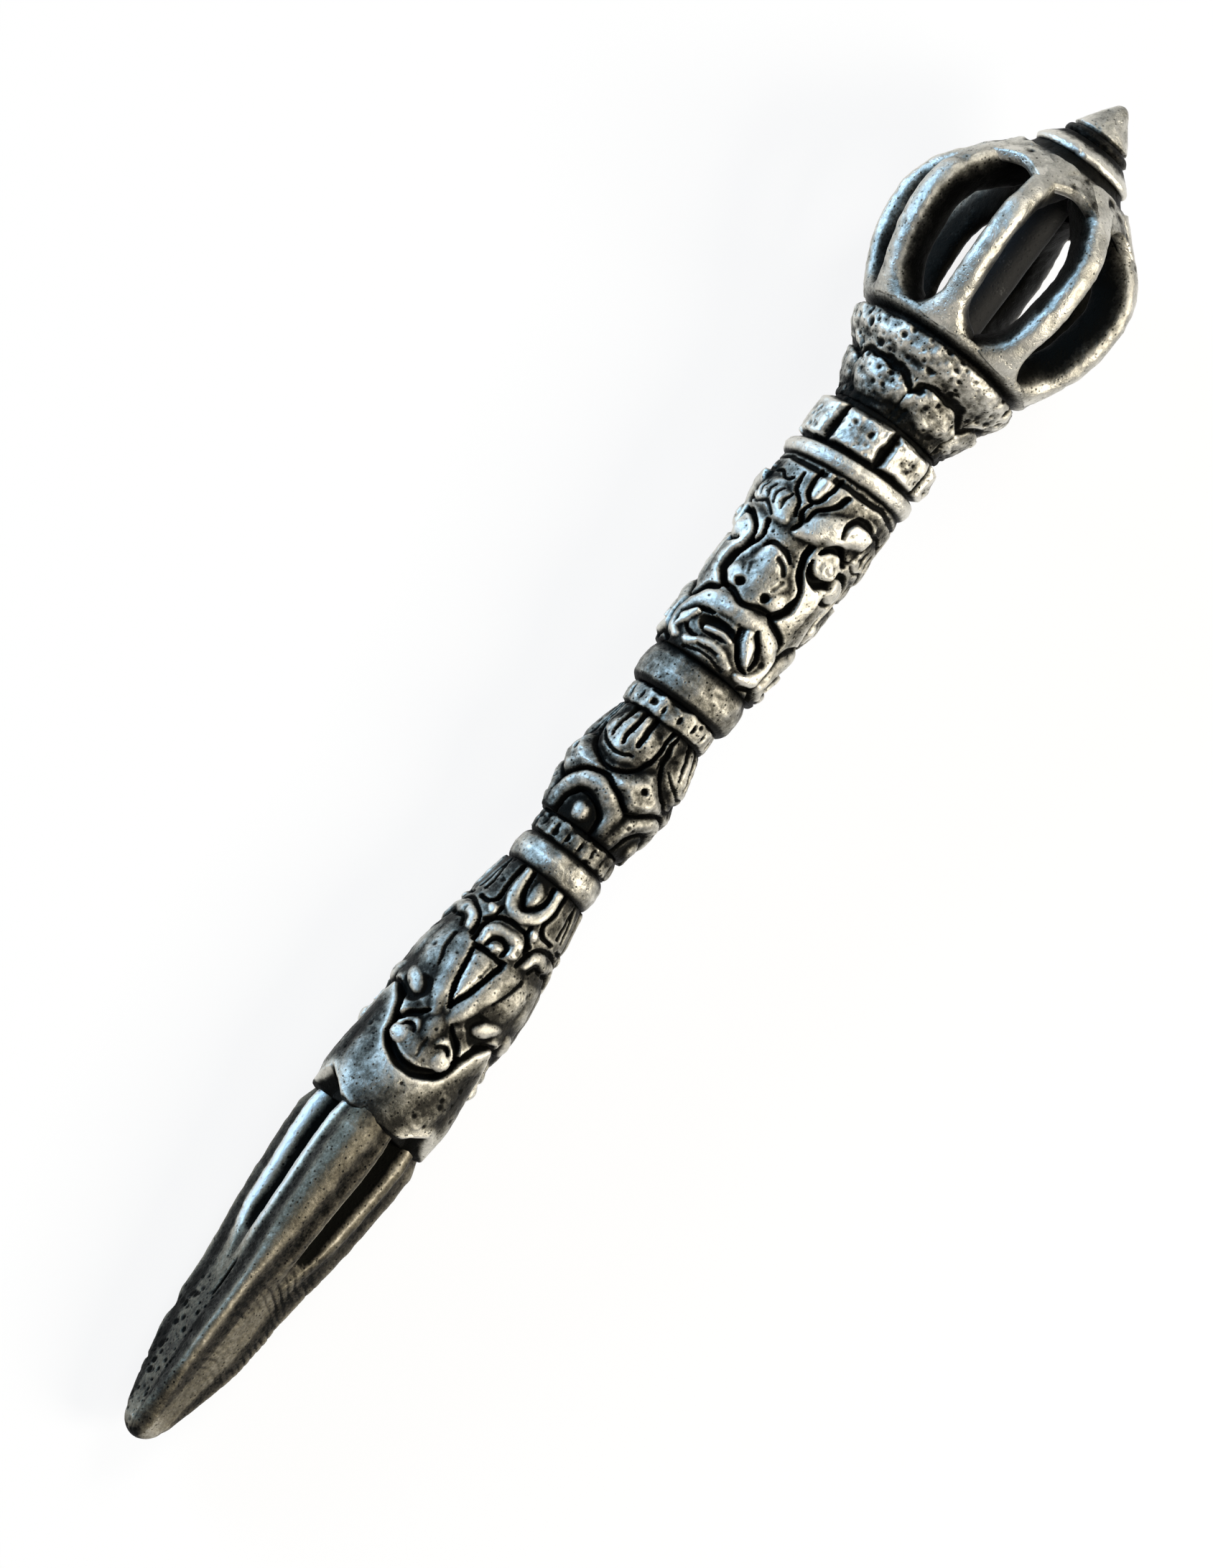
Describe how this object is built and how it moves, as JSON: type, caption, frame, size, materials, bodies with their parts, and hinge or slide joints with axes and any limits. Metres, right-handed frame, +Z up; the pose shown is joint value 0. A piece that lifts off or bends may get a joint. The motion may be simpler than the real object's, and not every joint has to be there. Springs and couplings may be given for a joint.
{
  "type": "phurba",
  "caption": "Ritual dagger with a fluted stabbing blade, sea-monster and wrathful heads, a knot, a lotus and a round open cage of curved prongs.",
  "frame": {"origin": "middle of the bounding box in X and Y, on the surface that the dagger lies on", "axes": "+X along the dagger from its point to its finial, +Z up; the axis climbs 3.2 degrees towards the finial"},
  "size_m": [0.1198, 0.0184, 0.0185],
  "materials": {
    "cast_metal": "silvered brass casting, worn bright on the high places, with black patina in the hollows",
    "rod_metal": "dull drawn rod, darkened"
  },
  "bodies": {
    "root": {"blade": "cast_metal", "central_rod": "rod_metal", "monster_heads": "cast_metal", "lower_ring": "cast_metal", "lower_bead_ring": "cast_metal", "knot": "cast_metal", "upper_bead_ring": "cast_metal", "upper_ring": "cast_metal", "deity_heads": "cast_metal", "diadem_ring": "cast_metal", "block_band": "cast_metal", "lotus": "cast_metal", "cage_base": "cast_metal", "curved_prong_1": "cast_metal", "curved_prong_2": "cast_metal", "curved_prong_3": "cast_metal", "curved_prong_4": "cast_metal", "curved_prong_5": "cast_metal", "curved_prong_6": "cast_metal", "curved_prong_7": "cast_metal", "curved_prong_8": "cast_metal", "hub": "cast_metal", "collar": "cast_metal", "bud": "cast_metal"}
  },
  "joints": []
}
